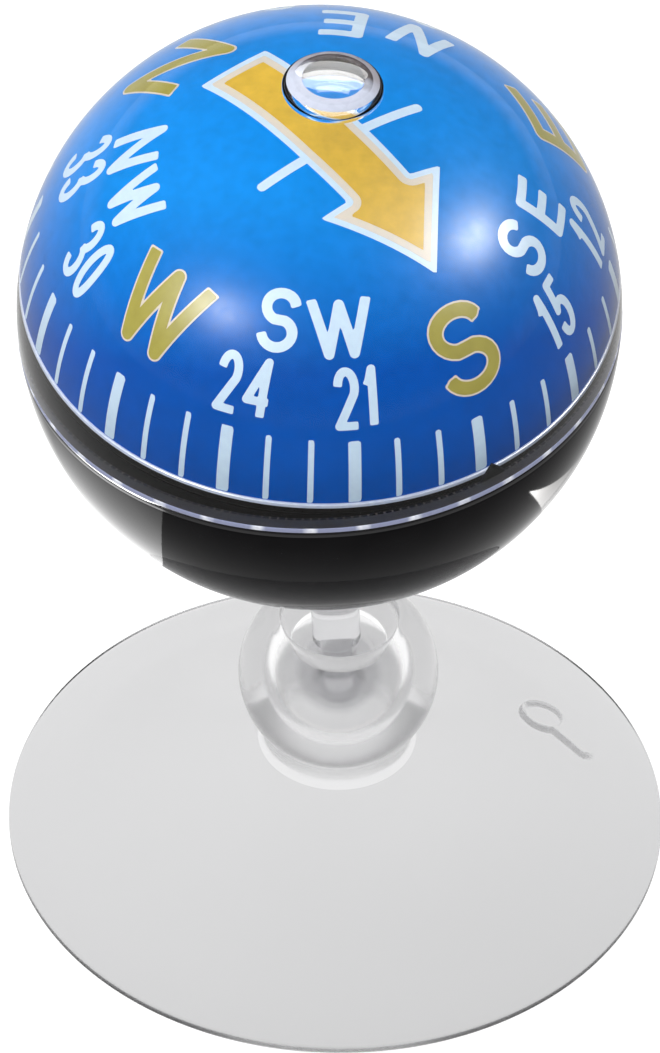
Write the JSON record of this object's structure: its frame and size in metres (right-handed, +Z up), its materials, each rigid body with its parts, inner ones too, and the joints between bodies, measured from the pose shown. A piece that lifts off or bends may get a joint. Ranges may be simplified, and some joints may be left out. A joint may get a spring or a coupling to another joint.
{
  "type": "car dashboard compass",
  "caption": "Ball compass with a floating blue card under a clear dome over a black bowl, on a stem that tilts and turns in the round knob of a clear suction cup.",
  "frame": {"origin": "centre of the suction cup's sealing face, on the surface that it stands on", "axes": "+Z up, square to the cup's sealing face; -Y faces the viewer of the picture; +X to the right. At rest the stem and ball lean 3 degrees towards -X"},
  "size_m": [0.045, 0.045, 0.0696],
  "materials": {
    "clear_vinyl": "clear soft vinyl, smooth",
    "clear_plastic": "clear moulded acrylic, polished",
    "black_gloss": "glossy black moulded plastic",
    "black_matte": "dark moulded plastic, satin",
    "pale_gasket": "pale silicone gasket",
    "black_rubber": "black rubber",
    "card_blue": "blue plastic with white and gold printing",
    "rim_white": "pale plastic ring",
    "polished_steel": "polished steel",
    "jewel_red": "polished red synthetic ruby",
    "brass": "turned brass",
    "magnet_grey": "dark grey sintered magnet"
  },
  "bodies": {
    "cup": {"suction_cup": "clear_vinyl"},
    "bush": {"socket_bush": "clear_plastic"},
    "bead": {"stem_bead": "clear_plastic"},
    "ball": {"swivel_stem": "clear_plastic", "lower_bowl": "black_gloss", "upper_dome": "clear_plastic", "seam_gasket": "pale_gasket", "fill_plug": "black_rubber", "lubber_pointer": "black_matte", "pivot_post": "black_matte", "post_collar": "brass", "pivot_needle": "polished_steel"},
    "jewel": {"jewel_bead": "jewel_red"},
    "holder": {"jewel_holder": "brass"},
    "card": {"card_dome": "card_blue", "card_rim": "rim_white", "float_base": "black_matte", "keeper_ring": "brass", "magnet_carrier": "black_matte", "magnet_bar_east": "magnet_grey", "magnet_bar_west": "magnet_grey"}
  },
  "joints": [
    {"name": "socket_pitch", "type": "hinge", "parent": "cup", "child": "bush", "pos_m": [0, 0, 0.01472], "axis": [1, 0, 0], "range_deg": [-15, 15]},
    {"name": "socket_roll", "type": "hinge", "parent": "bush", "child": "bead", "pos_m": [0, 0, 0.01472], "axis": [0, 1, 0], "range_deg": [-12, 18]},
    {"name": "ball_turn", "type": "hinge", "parent": "bead", "child": "ball", "pos_m": [0, 0, 0.01472], "axis": [-0.0523, 0, 0.9986], "continuous": true},
    {"name": "card_pitch", "type": "hinge", "parent": "ball", "child": "jewel", "pos_m": [-0.00186, 0, 0.05017], "axis": [0.9986, 0, 0.0523], "range_deg": [-10, 10]},
    {"name": "card_roll", "type": "hinge", "parent": "jewel", "child": "holder", "pos_m": [-0.00186, 0, 0.05017], "axis": [0, 1, 0], "range_deg": [-13, 7]},
    {"name": "card_spin", "type": "hinge", "parent": "holder", "child": "card", "pos_m": [-0.00186, 0, 0.05017], "axis": [0, 0, 1], "continuous": true}
  ]
}
